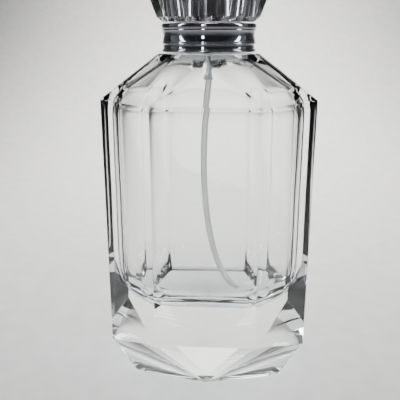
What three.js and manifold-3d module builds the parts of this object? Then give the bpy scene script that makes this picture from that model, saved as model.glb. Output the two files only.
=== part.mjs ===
// Perfume bottle: a thick octagonal glass bottle with a fine-mist pump, a chromed collar
// and a clear faceted cap over a metallised liner. Millimetres, +Z up, front face towards -Y,
// origin at the middle of the face that it stands on.
import * as THREE from "three";
import { ConvexGeometry } from "three/addons/geometries/ConvexGeometry.js";
import { mergeVertices } from "three/addons/utils/BufferGeometryUtils.js";
import Module from "manifold-3d";

const wasm = await Module();
wasm.setup();

// ---- Glass body: octagonal in plan, cut like a stone at the base -------------------------
const BODY_WIDTH = 62;
const BODY_DEPTH = 44;
const CORNER_CHAMFER = 16.3; // leg of each 45 degree corner chamfer
const SHOULDER_FOLD_Z = 88.6; // where the upright faces turn into the shoulder
const SHOULDER_TOP_Z = 101.5;
const SHOULDER_RING_RADIUS = 14.8; // round land that the shoulder facets run up to
const SIDE_BEVEL_Z = 11; // where the base bevel starts on the narrow side faces
const FRONT_BEVEL_Z = 18.9; // where it starts on the front and back faces
const FOOT_SIDE_INSET = 7.6; // foot outline, drawn in from the side faces
const FOOT_SIDE_HALF = 6.6; // half length of the foot's side edges
const FOOT_FRONT_INSET = 9.5; // foot outline's front point, drawn in from the front face
const FOOT_CORNER_INSET = 3.9; // small cut across each foot corner, along X
const FOOT_CORNER_RISE = 1.9; // and along Y

// ---- Cavity that holds the perfume --------------------------------------------------------
const SIDE_WALL = 5.3;
const FRONT_WALL = 3.4;
const CHAMFER_WALL = 2.3;
const BASE_THICKNESS = 28;
const CAVITY_EDGE_RADIUS = 10; // upright edges
const CAVITY_FLOOR_RADIUS = 10; // edge between walls and floor
const CAVITY_FLOOR_CORNER = 0.5; // least radius of the floor's own outline
const CAVITY_FOLD_DROP = 0.8; // inner fold below the outer fold
const CAVITY_ROOF_WALL = 3.2; // glass left under the shoulder land
const CAVITY_ROOF_INSET = 2.2; // roof ring, drawn in from the shoulder land
const THROAT_FLARE = 3.6; // how far the roof flares from the bore
const THROAT_RISE = 0.9;

// ---- Neck finish and crimp ----------------------------------------------------------------
const BORE_RADIUS = 4.9;
const NECK_WALL = 1.6;
const BEAD_WIDTH = 0.9; // how far the bead stands out from the neck
const BEAD_HEIGHT = 2.9;
const NECK_HEIGHT = 5.2;
const GASKET_THICKNESS = 0.8;
const FERRULE_WALL = 0.4;
const FIT = 0.15; // clearance between pieces that seat on each other
const SLIP = 0.1; // running clearance between pump pieces

// ---- Collar -------------------------------------------------------------------------------
const COLLAR_RADIUS = 13.5;
const COLLAR_SKIN = 0.9; // metal left at the collar's deepest groove
const COLLAR_FLANGE = 0.7;
const SCOTIA_DEPTH = 0.45; // hollow of the collar's main band
const GROOVE_DEPTH = 0.35;
const BOSS_WALL = 0.75; // spigot that the cap slides over
const NOZZLE_SIGHT = 0.45; // the pressed nozzle stays this far above the spigot's rim

// ---- Pump ---------------------------------------------------------------------------------
const STROKE = 4.5;
const CHAMBER_RADIUS = 3;
const HOUSING_WALL = 1.1;
const FLANGE_THICKNESS = 1;
const FLANGE_RADIUS = 7;
const UPSTAND_HEIGHT = 2.2; // housing above its flange
const TURRET_SKIRT = 0.85;
const TURRET_PLATE = 0.8;
const SEAL_THICKNESS = 0.6;
const PISTON_HEIGHT = 2.2;
const CORE_PLATE = 0.8;
const CORE_RADIUS = 2.7;
const STEM_RADIUS = 1.6;
const STEM_BORE = 0.7;
const SPRING_LENGTH = 6.5; // installed length
const SPRING_WIRE = 0.36;
const SPRING_TURNS = 4;
const BALL_RADIUS = 1;
const BALL_LIFT = 0.6;
const SOCKET_DEPTH = 4;
const SOCKET_WALL = 0.35;
const TUBE_RADIUS = 0.95;
const TUBE_BORE = 0.6;
const TUBE_FLOOR_GAP = 1.2; // cut end of the dip tube above the cavity floor

// ---- Actuator -----------------------------------------------------------------------------
const ACTUATOR_RADIUS = 6.1;
const ACTUATOR_SKIRT = 0.5;
const ACTUATOR_HEAD = 5.7; // solid height above the skirt's recess
const SLEEVE_WALL = 0.5;
const NOZZLE_RADIUS = 1.6;
const NOZZLE_LENGTH = 2.6;
const NOZZLE_DROP = 2.4; // nozzle's axis below the top of the head
const ORIFICE_RADIUS = 0.25;
const CHANNEL_RADIUS = 0.5;

// ---- Cap ----------------------------------------------------------------------------------
const CAP_SEAT_RADIUS = 12.7; // flat-to-flat half sizes of the octagonal shell, from the bottom
const CAP_BEVEL_RADIUS = 14.2;
const CAP_GIRDLE_RADIUS = 19;
const CAP_TABLE_RADIUS = 13.6;
const CAP_BEVEL_HEIGHT = 1.5;
const CAP_FLARE_ANGLE = 20; // degrees from upright
const CAP_ROOF = 5; // solid shell above the liner
const CAP_CROWN_LIP = 1.2; // upright band at the girdle
const LINER_RADIUS = 9.7;
const LINER_WALL = 0.4;
const INSERT_WALL = 1.1;
const INSERT_PLATE = 1;
const HEADROOM = 5.2; // above the actuator, inside the cap
const CAP_GAP = 0.3; // between the cap and the collar it stands on

const FINE = 40; // facets round a visible turned piece
const COARSE = 24; // facets round a small pump piece

// ---- Heights and radii that follow from the sizes above -----------------------------------
const halfWidth = BODY_WIDTH / 2;
const halfDepth = BODY_DEPTH / 2;
const neckRadius = BORE_RADIUS + NECK_WALL;
const beadRadius = neckRadius + BEAD_WIDTH;
const beadTopZ = SHOULDER_TOP_Z + NECK_HEIGHT;
const gasketZ = beadTopZ + FIT;
const flangeZ = gasketZ + GASKET_THICKNESS + FIT;
const flangeTopZ = flangeZ + FLANGE_THICKNESS;
const ferruleTopZ = flangeTopZ + FIT + FERRULE_WALL;
const ferruleBore = beadRadius + FIT;
const ferruleRadius = ferruleBore + FERRULE_WALL;
const upstandTopZ = flangeTopZ + UPSTAND_HEIGHT;
const turretTopZ = upstandTopZ + FIT + TURRET_PLATE;
const housingRadius = CHAMBER_RADIUS + HOUSING_WALL;
const turretRadius = housingRadius + FIT + TURRET_SKIRT;
const sealTopZ = upstandTopZ;
const pistonTopZ = sealTopZ - SEAL_THICKNESS - 2 * FIT;
const pistonZ = pistonTopZ - PISTON_HEIGHT;
const coreZ = pistonZ - FIT - CORE_PLATE;
const springTopZ = coreZ - FIT;
const chamberZ = springTopZ - SPRING_LENGTH - FIT;
const ballRoom = BALL_RADIUS + 0.25;
const seatZ = chamberZ - BALL_RADIUS * 2;
const throatRadius = 0.6;
const seatFootZ = seatZ - (ballRoom - throatRadius);
const socketTopZ = seatFootZ - 0.5;
const socketZ = socketTopZ - SOCKET_DEPTH;
const socketBore = TUBE_RADIUS + SLIP;
const socketRadius = socketBore + SOCKET_WALL;
const recessZ = turretTopZ + STROKE + 2 * FIT;
const skirtZ = ferruleTopZ + STROKE + 3 * FIT;
const headTopZ = recessZ + ACTUATOR_HEAD;
const nozzleZ = headTopZ - NOZZLE_DROP;
const stemTopZ = nozzleZ - CHANNEL_RADIUS - FIT;
const sleeveBore = ACTUATOR_RADIUS + FIT;
const sleeveRadius = sleeveBore + SLEEVE_WALL;
const sleeveTopZ = headTopZ + FIT + SLEEVE_WALL;
const bossBore = sleeveRadius + 2 * FIT;
const bossRadius = bossBore + BOSS_WALL;
const bossTopZ = nozzleZ - STROKE - NOZZLE_RADIUS - NOZZLE_SIGHT;
const collarTopZ = ferruleTopZ + FIT;
const collarZ = SHOULDER_TOP_Z + 2 * FIT;
const collarBore = COLLAR_RADIUS - SCOTIA_DEPTH - COLLAR_SKIN;
const shoulderOfBoss = ferruleRadius + FIT + BOSS_WALL;
const capZ = collarTopZ + CAP_GAP;
const insertBore = bossRadius + FIT;
const insertRoofZ = sleeveTopZ + HEADROOM;
const linerRoofZ = insertRoofZ + INSERT_PLATE + FIT;
const capTopZ = linerRoofZ + LINER_WALL + FIT + CAP_ROOF;
const linerRadius = Math.max(
  LINER_RADIUS,
  insertBore + INSERT_WALL + FIT + LINER_WALL,
  shoulderOfBoss + FIT + LINER_WALL,
);

// ---- Helpers ------------------------------------------------------------------------------

// Signed area of a closed outline of [radius, height] pairs, positive when it runs anticlockwise.
function signedArea(outline) {
  return outline.reduce((sum, [r, z], i) => {
    const [nextR, nextZ] = outline[(i + 1) % outline.length];
    return sum + (r * nextZ - nextR * z) / 2;
  }, 0);
}

// A turned solid about Z from an outline of [radius, height] pairs. An outline that touches the
// axis starts and ends there, and any other one is closed on itself.
function turned(outline, facets) {
  const points = signedArea(outline) < 0 ? [...outline].reverse() : [...outline];
  const onAxis = points.some(([r]) => r === 0);
  if (onAxis) {
    while (points[0][0] !== 0 || points[points.length - 1][0] !== 0) points.push(points.shift());
  } else {
    points.push(points[0]);
  }
  const profile = points.map(([r, z]) => new THREE.Vector2(r, z));
  return new THREE.LatheGeometry(profile, facets).rotateX(Math.PI / 2);
}

// A cylinder along Y from y = near to y = far, at height z.
function rodAlongY(radius, near, far, z, facets) {
  const rod = new THREE.CylinderGeometry(radius, radius, far - near, facets);
  return rod.translate(0, (near + far) / 2, z);
}

function solid(geometry) {
  const bare = geometry.clone();
  bare.deleteAttribute("normal");
  bare.deleteAttribute("uv");
  const merged = mergeVertices(bare, 1e-4);
  const corners = [];
  const index = merged.index.array;
  for (let i = 0; i < index.length; i += 3) {
    const [a, b, c] = [index[i], index[i + 1], index[i + 2]];
    if (a !== b && b !== c && c !== a) corners.push(a, b, c);
  }
  return new wasm.Manifold(
    new wasm.Mesh({
      numProp: 3,
      vertProperties: merged.attributes.position.array,
      triVerts: new Uint32Array(corners),
    }),
  );
}

function geometryOf(body) {
  const mesh = body.getMesh();
  const geometry = new THREE.BufferGeometry();
  geometry.setAttribute("position", new THREE.BufferAttribute(mesh.vertProperties, 3));
  geometry.setIndex(new THREE.BufferAttribute(mesh.triVerts, 1));
  geometry.computeVertexNormals();
  return geometry;
}

// An octagon with upright half sizes x and y, whose corners are cut where |x| + |y| = cut.
function octagon(x, y, cut) {
  const quarter = [
    [x, cut - x],
    [cut - y, y],
  ];
  const right = [...quarter, ...[...quarter].reverse().map(([a, b]) => [-a, b])];
  return [...right, ...right.map(([a, b]) => [-a, -b])];
}

// The same octagon with its eight corners rounded, as points on arcs of the given radius.
function roundedOctagon(x, y, cut, radius) {
  const centres = octagon(x - radius, y - radius, cut - Math.SQRT2 * radius);
  return centres.flatMap(([a, b], corner) =>
    [0, 0.5, 1].map((step) => {
      const angle = (corner + step) * (Math.PI / 4);
      return [a + radius * Math.cos(angle), b + radius * Math.sin(angle)];
    }),
  );
}

function circle(radius, count) {
  return Array.from({ length: count }, (_, i) => {
    const angle = (2 * Math.PI * i) / count;
    return [radius * Math.cos(angle), radius * Math.sin(angle)];
  });
}

function atHeight(points, z) {
  return points.map(([x, y]) => new THREE.Vector3(x, y, z));
}

// ---- Glass --------------------------------------------------------------------------------

// Foot outline: a long shallow point towards the front and the back, straight at the sides.
function footOutline() {
  const sideX = halfWidth - FOOT_SIDE_INSET;
  const pointY = halfDepth - FOOT_FRONT_INSET;
  const cornerX = sideX - FOOT_CORNER_INSET;
  const cornerY = Math.min(FOOT_SIDE_HALF + FOOT_CORNER_RISE, (FOOT_SIDE_HALF + pointY) / 2);
  const quarter = [
    [sideX, FOOT_SIDE_HALF],
    [cornerX, cornerY],
  ];
  const front = [...quarter, [0, pointY], ...quarter.map(([a, b]) => [-a, b])];
  return [...front, ...front.map(([a, b]) => [a, -b])];
}

function glassOutside() {
  const cut = halfWidth + halfDepth - CORNER_CHAMFER;
  const plan = octagon(halfWidth, halfDepth, cut);
  const bevel = plan.map(([x, y]) => {
    const onSide = Math.abs(x) === halfWidth;
    return new THREE.Vector3(x, y, onSide ? SIDE_BEVEL_Z : FRONT_BEVEL_Z);
  });
  return new ConvexGeometry([
    ...atHeight(footOutline(), 0),
    ...bevel,
    ...atHeight(plan, SHOULDER_FOLD_Z),
    ...atHeight(circle(SHOULDER_RING_RADIUS, FINE), SHOULDER_TOP_Z),
  ]);
}

function cavity() {
  const x = halfWidth - SIDE_WALL;
  const y = halfDepth - FRONT_WALL;
  const cut = halfWidth + halfDepth - CORNER_CHAMFER - Math.SQRT2 * CHAMFER_WALL;
  const level = (inset, z) => {
    const corner = Math.max(CAVITY_EDGE_RADIUS - inset, CAVITY_FLOOR_CORNER);
    return atHeight(roundedOctagon(x - inset, y - inset, cut - Math.SQRT2 * inset, corner), z);
  };
  const floor = [0, 0.25, 0.5, 0.75, 1].flatMap((step) => {
    const angle = (step * Math.PI) / 2;
    const inset = CAVITY_FLOOR_RADIUS * (1 - Math.sin(angle));
    return level(inset, BASE_THICKNESS + CAVITY_FLOOR_RADIUS * (1 - Math.cos(angle)));
  });
  const roofZ = SHOULDER_TOP_Z - CAVITY_ROOF_WALL;
  return new ConvexGeometry([
    ...floor,
    ...level(0, SHOULDER_FOLD_Z - CAVITY_FOLD_DROP),
    ...atHeight(circle(SHOULDER_RING_RADIUS - CAVITY_ROOF_INSET, FINE), roofZ),
    ...atHeight(circle(BORE_RADIUS + THROAT_FLARE, FINE), roofZ + THROAT_RISE),
  ]);
}

function glassBottle() {
  const neckRootZ = SHOULDER_TOP_Z - CAVITY_ROOF_WALL / 4;
  const beadZ = beadTopZ - BEAD_HEIGHT;
  const neck = [
    [0, neckRootZ],
    [neckRadius, neckRootZ],
    [neckRadius, beadZ],
    [beadRadius, beadZ + BEAD_WIDTH / 2],
    [beadRadius, beadTopZ - BEAD_WIDTH / 3],
    [beadRadius - BEAD_WIDTH / 3, beadTopZ],
    [0, beadTopZ],
  ];
  const bore = [
    [0, BASE_THICKNESS + CAVITY_FLOOR_RADIUS * 2],
    [BORE_RADIUS, BASE_THICKNESS + CAVITY_FLOOR_RADIUS * 2],
    [BORE_RADIUS, beadTopZ + 1],
    [0, beadTopZ + 1],
  ];
  const body = solid(glassOutside()).add(solid(turned(neck, FINE)));
  return geometryOf(body.subtract(solid(cavity())).subtract(solid(turned(bore, FINE))));
}

// ---- Neck closure and collar --------------------------------------------------------------

function neckGasket() {
  return turned(
    [
      [BORE_RADIUS, gasketZ],
      [beadRadius - FIT, gasketZ],
      [beadRadius - FIT, gasketZ + GASKET_THICKNESS],
      [BORE_RADIUS, gasketZ + GASKET_THICKNESS],
    ],
    COARSE,
  );
}

// Aluminium shell over the bead, its lower edge rolled in under the bead.
function crimpFerrule() {
  const lipZ = beadTopZ - BEAD_HEIGHT - FIT;
  const lipRadius = neckRadius + FIT;
  const plateHole = housingRadius + FIT;
  return turned(
    [
      [lipRadius, lipZ - FERRULE_WALL],
      [ferruleRadius, lipZ - FERRULE_WALL],
      [ferruleRadius, ferruleTopZ],
      [plateHole, ferruleTopZ],
      [plateHole, ferruleTopZ - FERRULE_WALL],
      [ferruleBore, ferruleTopZ - FERRULE_WALL],
      [ferruleBore, lipZ + BEAD_WIDTH / 2],
      [lipRadius, lipZ],
    ],
    FINE,
  );
}

// Moulded ring between the ferrule and the chromed collar, with the spigot for the cap.
function collarInsert() {
  const bore = ferruleRadius + FIT;
  const flangeUnderZ = collarTopZ - COLLAR_FLANGE - FIT;
  const stepZ = collarTopZ + BOSS_WALL;
  return turned(
    [
      [bore, collarZ + FIT],
      [collarBore - FIT, collarZ + FIT],
      [collarBore - FIT, flangeUnderZ],
      [shoulderOfBoss, flangeUnderZ],
      [shoulderOfBoss, stepZ],
      [bossRadius, stepZ],
      [bossRadius, bossTopZ],
      [bossBore, bossTopZ],
      [bossBore, ferruleTopZ + FIT],
      [bore, ferruleTopZ + FIT],
    ],
    FINE,
  );
}

// Chromed collar: top bead, hollow main band, thin ridge, recessed band and bottom lip.
function collarRing() {
  const height = collarTopZ - collarZ;
  const z = (share) => collarZ + share * height;
  const r = COLLAR_RADIUS;
  const flangeHole = shoulderOfBoss + FIT;
  const hollow = [1, 2, 3, 4].map((step) => {
    const share = step / 5;
    return [r - SCOTIA_DEPTH * Math.sin(Math.PI * share), z(0.4 + 0.4 * share)];
  });
  return turned(
    [
      [collarBore, collarZ],
      [r - GROOVE_DEPTH / 2, collarZ],
      [r, z(0.05)],
      [r, z(0.14)],
      [r - GROOVE_DEPTH, z(0.17)],
      [r - GROOVE_DEPTH, z(0.3)],
      [r, z(0.33)],
      [r, z(0.38)],
      ...hollow,
      [r, z(0.82)],
      [r, z(0.96)],
      [r - GROOVE_DEPTH / 2, collarTopZ],
      [flangeHole, collarTopZ],
      [flangeHole, collarTopZ - COLLAR_FLANGE],
      [collarBore, collarTopZ - COLLAR_FLANGE],
    ],
    FINE,
  );
}

// ---- Pump ---------------------------------------------------------------------------------

function pumpHousing() {
  const bulb = socketRadius + 0.35;
  return turned(
    [
      [socketBore, socketZ],
      [socketRadius, socketZ],
      [socketRadius, socketTopZ - 0.6],
      [socketRadius - 0.1, socketTopZ - 0.1],
      [bulb, socketTopZ + 0.3],
      [bulb, seatZ + 0.4],
      [housingRadius, chamberZ + 0.4],
      [housingRadius, flangeZ],
      [FLANGE_RADIUS, flangeZ],
      [FLANGE_RADIUS, flangeTopZ],
      [housingRadius, flangeTopZ],
      [housingRadius, upstandTopZ],
      [CHAMBER_RADIUS, upstandTopZ],
      [CHAMBER_RADIUS, chamberZ],
      [ballRoom, chamberZ],
      [ballRoom, seatZ],
      [throatRadius, seatFootZ],
      [throatRadius, socketTopZ],
      [socketBore, socketTopZ],
    ],
    COARSE,
  );
}

function turret() {
  const skirtBore = housingRadius + FIT;
  return turned(
    [
      [skirtBore, ferruleTopZ + FIT],
      [turretRadius, ferruleTopZ + FIT],
      [turretRadius, turretTopZ - 0.3],
      [turretRadius - 0.3, turretTopZ],
      [STEM_RADIUS + SLIP, turretTopZ],
      [STEM_RADIUS + SLIP, upstandTopZ + FIT],
      [skirtBore, upstandTopZ + FIT],
    ],
    COARSE,
  );
}

function washer(inner, outer, bottomZ, topZ) {
  return turned(
    [
      [inner, bottomZ],
      [outer, bottomZ],
      [outer, topZ],
      [inner, topZ],
    ],
    COARSE,
  );
}

function stemSeal() {
  return washer(STEM_RADIUS + SLIP, CHAMBER_RADIUS - SLIP, sealTopZ - SEAL_THICKNESS, sealTopZ);
}

// Piston with a thin wiping lip at each end.
function piston() {
  const lip = CHAMBER_RADIUS - SLIP;
  const waist = lip - 0.5;
  return turned(
    [
      [STEM_RADIUS + SLIP, pistonZ],
      [lip, pistonZ],
      [waist, pistonZ + 0.5],
      [waist, pistonTopZ - 0.5],
      [lip, pistonTopZ],
      [STEM_RADIUS + SLIP, pistonTopZ],
    ],
    COARSE,
  );
}

// Lower plug of the stem: the spring pushes on its plate and its spigot enters the stem's bore.
function valveCore() {
  const spigot = STEM_BORE - SLIP;
  return turned(
    [
      [0, coreZ],
      [CORE_RADIUS, coreZ],
      [CORE_RADIUS, coreZ + CORE_PLATE],
      [spigot, coreZ + CORE_PLATE],
      [spigot, coreZ + CORE_PLATE + 1.2],
      [0, coreZ + CORE_PLATE + 1.2],
    ],
    COARSE,
  );
}

function stem() {
  return washer(STEM_BORE, STEM_RADIUS, pistonZ, stemTopZ);
}

class Helix extends THREE.Curve {
  constructor(radius, bottomZ, topZ, turns) {
    super();
    Object.assign(this, { radius, bottomZ, topZ, turns });
  }

  getPoint(t, target = new THREE.Vector3()) {
    const angle = 2 * Math.PI * this.turns * t;
    const z = this.bottomZ + (this.topZ - this.bottomZ) * t;
    return target.set(this.radius * Math.cos(angle), this.radius * Math.sin(angle), z);
  }
}

function roundSection(radius, sides) {
  return new THREE.Shape(circle(radius, sides).map(([x, y]) => new THREE.Vector2(x, y)));
}

function returnSpring() {
  const wire = SPRING_WIRE / 2;
  const radius = CHAMBER_RADIUS - SLIP - 2 * wire;
  const path = new Helix(radius, chamberZ + FIT + wire, springTopZ - wire, SPRING_TURNS);
  return new THREE.ExtrudeGeometry(roundSection(wire, 6), {
    steps: SPRING_TURNS * 12,
    bevelEnabled: false,
    extrudePath: path,
  });
}

function inletBall() {
  const contact = BALL_RADIUS * Math.SQRT1_2;
  const centreZ = seatFootZ + (contact - throatRadius) + contact + SLIP;
  return new THREE.SphereGeometry(BALL_RADIUS, 16, 10).rotateX(Math.PI / 2).translate(0, 0, centreZ);
}

// Dip tube: straight out of its socket, then a lazy bend that ends by the right of the floor.
function dipTube() {
  const footZ = BASE_THICKNESS + TUBE_FLOOR_GAP + TUBE_RADIUS;
  const drop = socketZ - footZ;
  const route = [
    [0, 0, socketTopZ - FIT],
    [0, 0, socketZ - 0.5],
    [-0.6, 0, footZ + 0.9 * drop],
    [-1.3, -0.4, footZ + 0.66 * drop],
    [-0.6, -1.4, footZ + 0.42 * drop],
    [1.6, -3, footZ + 0.22 * drop],
    [5.2, -4.8, footZ + 0.08 * drop],
    [9.6, -6, footZ],
  ].map((p) => new THREE.Vector3(...p));
  const section = roundSection(TUBE_RADIUS, 10);
  section.holes.push(new THREE.Path(roundSection(TUBE_BORE, 10).getPoints()));
  return new THREE.ExtrudeGeometry(section, {
    steps: 36,
    bevelEnabled: false,
    extrudePath: new THREE.CatmullRomCurve3(route, false, "centripetal"),
  });
}

// ---- Actuator -----------------------------------------------------------------------------

function actuator() {
  const socket = STEM_RADIUS + SLIP;
  const recess = ACTUATOR_RADIUS - ACTUATOR_SKIRT;
  const body = turned(
    [
      [0, nozzleZ],
      [socket, nozzleZ],
      [socket, recessZ],
      [recess, recessZ],
      [recess, skirtZ],
      [ACTUATOR_RADIUS, skirtZ],
      [ACTUATOR_RADIUS, headTopZ],
      [0, headTopZ],
    ],
    COARSE,
  );
  const pocketEnd = -ACTUATOR_RADIUS + NOZZLE_LENGTH + FIT;
  const pocket = rodAlongY(NOZZLE_RADIUS + FIT, -2 * ACTUATOR_RADIUS, pocketEnd, nozzleZ, COARSE);
  const channel = rodAlongY(CHANNEL_RADIUS, pocketEnd - 1, 0, nozzleZ, 12);
  return geometryOf(solid(body).subtract(solid(pocket)).subtract(solid(channel)));
}

function actuatorSleeve() {
  const body = turned(
    [
      [0, headTopZ + FIT],
      [sleeveBore, headTopZ + FIT],
      [sleeveBore, skirtZ],
      [sleeveRadius, skirtZ],
      [sleeveRadius, sleeveTopZ - 0.4],
      [sleeveRadius - 0.4, sleeveTopZ],
      [0, sleeveTopZ],
    ],
    COARSE,
  );
  const windowRadius = NOZZLE_RADIUS + 3 * FIT;
  const cut = rodAlongY(windowRadius, -2 * sleeveRadius, -sleeveBore / 2, nozzleZ, COARSE);
  return geometryOf(solid(body).subtract(solid(cut)));
}

// Swirl insert: a short plug along Y with a dished face and a fine orifice.
function nozzleInsert() {
  const front = ACTUATOR_RADIUS;
  const back = ACTUATOR_RADIUS - NOZZLE_LENGTH;
  return turned(
    [
      [ORIFICE_RADIUS, back],
      [NOZZLE_RADIUS, back],
      [NOZZLE_RADIUS, front],
      [NOZZLE_RADIUS * 0.6, front],
      [ORIFICE_RADIUS, front - 0.6],
    ],
    COARSE,
  )
    .rotateX(Math.PI / 2)
    .translate(0, 0, nozzleZ);
}

// ---- Cap ----------------------------------------------------------------------------------

function octagonRing(flatRadius, z) {
  return atHeight(octagon(flatRadius, flatRadius, flatRadius * Math.SQRT2), z);
}

// Clear shell: bevelled foot, flared sides up to a girdle, crown facets and a flat table.
function capShell() {
  const bevelZ = capZ + CAP_BEVEL_HEIGHT;
  const flare = Math.tan((CAP_FLARE_ANGLE * Math.PI) / 180);
  const girdleZ = bevelZ + (CAP_GIRDLE_RADIUS - CAP_BEVEL_RADIUS) / flare;
  const outside = new ConvexGeometry([
    ...octagonRing(CAP_SEAT_RADIUS, capZ),
    ...octagonRing(CAP_BEVEL_RADIUS, bevelZ),
    ...octagonRing(CAP_GIRDLE_RADIUS, girdleZ),
    ...octagonRing(CAP_GIRDLE_RADIUS, girdleZ + CAP_CROWN_LIP),
    ...octagonRing(CAP_TABLE_RADIUS, capTopZ),
  ]);
  const bore = turned(
    [
      [0, capZ - 1],
      [linerRadius + FIT, capZ - 1],
      [linerRadius + FIT, capTopZ - CAP_ROOF],
      [0, capTopZ - CAP_ROOF],
    ],
    FINE,
  );
  return geometryOf(solid(outside).subtract(solid(bore)));
}

function cup(outer, wall, bottomZ, roofZ, plate) {
  return turned(
    [
      [0, roofZ],
      [outer - wall, roofZ],
      [outer - wall, bottomZ],
      [outer, bottomZ],
      [outer, roofZ + plate],
      [0, roofZ + plate],
    ],
    FINE,
  );
}

function capLiner() {
  return cup(linerRadius, LINER_WALL, capZ, linerRoofZ, LINER_WALL);
}

function capInsert() {
  const outer = linerRadius - LINER_WALL - FIT;
  const bottomZ = collarTopZ + BOSS_WALL + CAP_GAP;
  return cup(outer, outer - insertBore, bottomZ, insertRoofZ, INSERT_PLATE);
}

// ---- Finishes and assembly ----------------------------------------------------------------

function finish(color, roughness, metalness, opacity = 1) {
  return new THREE.MeshStandardMaterial({
    color,
    roughness,
    metalness,
    opacity,
    transparent: opacity < 1,
  });
}

const clearGlass = finish(0xeef3f4, 0.03, 0, 0.35);
const clearAcrylic = finish(0xf4f1ef, 0.04, 0, 0.35);
const darkChrome = finish(0x6f6c72, 0.08, 1);
const metallised = finish(0x8d8a90, 0.12, 1);
const aluminium = finish(0xc9ccd0, 0.3, 1);
const springSteel = finish(0xb8babd, 0.25, 1);
const naturalPlastic = finish(0xe6e8e8, 0.4, 0);
const whitePlastic = finish(0xf2f2f0, 0.45, 0);
const greySeal = finish(0x8a8c8e, 0.8, 0);

const root = new THREE.Group();

function place(parent, name, geometry, material) {
  const mesh = new THREE.Mesh(geometry, material);
  mesh.name = name;
  parent.add(mesh);
}

place(root, "glass_bottle", glassBottle(), clearGlass);
place(root, "neck_gasket", neckGasket(), greySeal);
place(root, "crimp_ferrule", crimpFerrule(), aluminium);
place(root, "collar_insert", collarInsert(), whitePlastic);
place(root, "collar_ring", collarRing(), darkChrome);

const pump = new THREE.Group();
root.add(pump);
place(pump, "pump_housing", pumpHousing(), naturalPlastic);
place(pump, "turret", turret(), naturalPlastic);
place(pump, "stem_seal", stemSeal(), greySeal);
place(pump, "piston", piston(), whitePlastic);
place(pump, "valve_core", valveCore(), whitePlastic);
place(pump, "stem", stem(), whitePlastic);
place(pump, "return_spring", returnSpring(), springSteel);
place(pump, "inlet_ball", inletBall(), springSteel);
place(pump, "dip_tube", dipTube(), naturalPlastic);

const button = new THREE.Group();
pump.add(button);
place(button, "actuator", actuator(), whitePlastic);
place(button, "actuator_sleeve", actuatorSleeve(), darkChrome);
place(button, "nozzle_insert", nozzleInsert(), whitePlastic);

const cap = new THREE.Group();
root.add(cap);
place(cap, "cap_shell", capShell(), clearAcrylic);
place(cap, "cap_liner", capLiner(), metallised);
place(cap, "cap_insert", capInsert(), whitePlastic);

export default root;
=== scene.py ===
"""A thick octagonal glass perfume bottle with a chromed collar, a fine-mist pump and a clear
faceted cap, on a pale floor. Every surface is a grid worked out with numpy, in metres."""

import math

import bpy
import numpy as np
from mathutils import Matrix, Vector


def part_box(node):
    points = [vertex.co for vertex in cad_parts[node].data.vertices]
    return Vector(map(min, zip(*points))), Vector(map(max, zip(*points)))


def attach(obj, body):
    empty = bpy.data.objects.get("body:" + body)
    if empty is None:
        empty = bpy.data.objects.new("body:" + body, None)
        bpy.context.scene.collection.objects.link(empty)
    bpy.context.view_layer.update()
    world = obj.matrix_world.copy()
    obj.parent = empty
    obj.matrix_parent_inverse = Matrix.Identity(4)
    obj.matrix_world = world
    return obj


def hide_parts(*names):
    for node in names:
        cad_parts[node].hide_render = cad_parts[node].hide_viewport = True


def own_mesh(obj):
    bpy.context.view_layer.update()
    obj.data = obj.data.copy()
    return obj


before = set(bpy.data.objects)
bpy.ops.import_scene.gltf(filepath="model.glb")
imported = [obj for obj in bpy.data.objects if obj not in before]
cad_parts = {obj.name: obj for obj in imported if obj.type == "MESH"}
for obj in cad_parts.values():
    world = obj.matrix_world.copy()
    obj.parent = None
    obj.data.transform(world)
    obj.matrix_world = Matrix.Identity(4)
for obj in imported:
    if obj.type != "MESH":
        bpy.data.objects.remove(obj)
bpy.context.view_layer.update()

MM = 0.001
UP = np.array([0.0, 0.0, 1.0])
FLOOR_Z = -0.2 * MM  # just under the foot, so that the two faces don't coincide

# ---- Camera -------------------------------------------------------------------------------

GLASS_HIGH = np.array(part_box("glass_bottle")[1])
COLLAR_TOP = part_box("collar_ring")[1][2]

CAMERA_DISTANCE = 162 * MM
CAMERA_HEIGHT = 106.5 * MM
CAMERA_AZIMUTH = 2.2  # degrees round from the front towards +X
CAMERA_PITCH = 16.9  # degrees down
CAMERA_ROLL = 0.0
CAMERA_PAN = 0.9  # degrees that the view is turned off the bottle's axis
CAMERA_LENS = 49.0


def make_camera():
    data = bpy.data.cameras.new("camera")
    data.lens = CAMERA_LENS
    data.sensor_width = 36.0
    data.clip_start = 0.005
    data.clip_end = 20.0
    camera = bpy.data.objects.new("camera", data)
    azimuth = math.radians(CAMERA_AZIMUTH)
    camera.location = (
        CAMERA_DISTANCE * math.sin(azimuth),
        -CAMERA_DISTANCE * math.cos(azimuth),
        CAMERA_HEIGHT,
    )
    camera.rotation_mode = "XYZ"
    camera.rotation_euler = (
        math.radians(90 - CAMERA_PITCH),
        math.radians(CAMERA_ROLL),
        azimuth + math.radians(CAMERA_PAN),
    )
    bpy.context.scene.collection.objects.link(camera)
    bpy.context.scene.camera = camera


make_camera()

# ---- Surfaces -----------------------------------------------------------------------------


def grid_faces(rows, columns, ring):
    """Quads between neighbouring rows of a grid whose columns close round. With ring set the
    last row also joins the first, and otherwise nothing closes the ends."""
    count = rows if ring else rows - 1
    row = np.arange(count)[:, None]
    column = np.arange(columns)[None, :]
    right = (column + 1) % columns
    above = (row + 1) % rows
    here, over = row * columns, above * columns
    quads = [here + column, here + right, over + right, over + column]
    return np.stack(np.broadcast_arrays(*quads), axis=-1).reshape(-1, 4)


def fan_faces(pole, first, columns, flip):
    """Triangles from one pole vertex to a row that starts at the vertex numbered first."""
    column = np.arange(columns)
    near, far = first + column, first + (column + 1) % columns
    order = (far, near) if flip else (near, far)
    return np.stack([np.full(columns, pole), *order], axis=-1)


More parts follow.
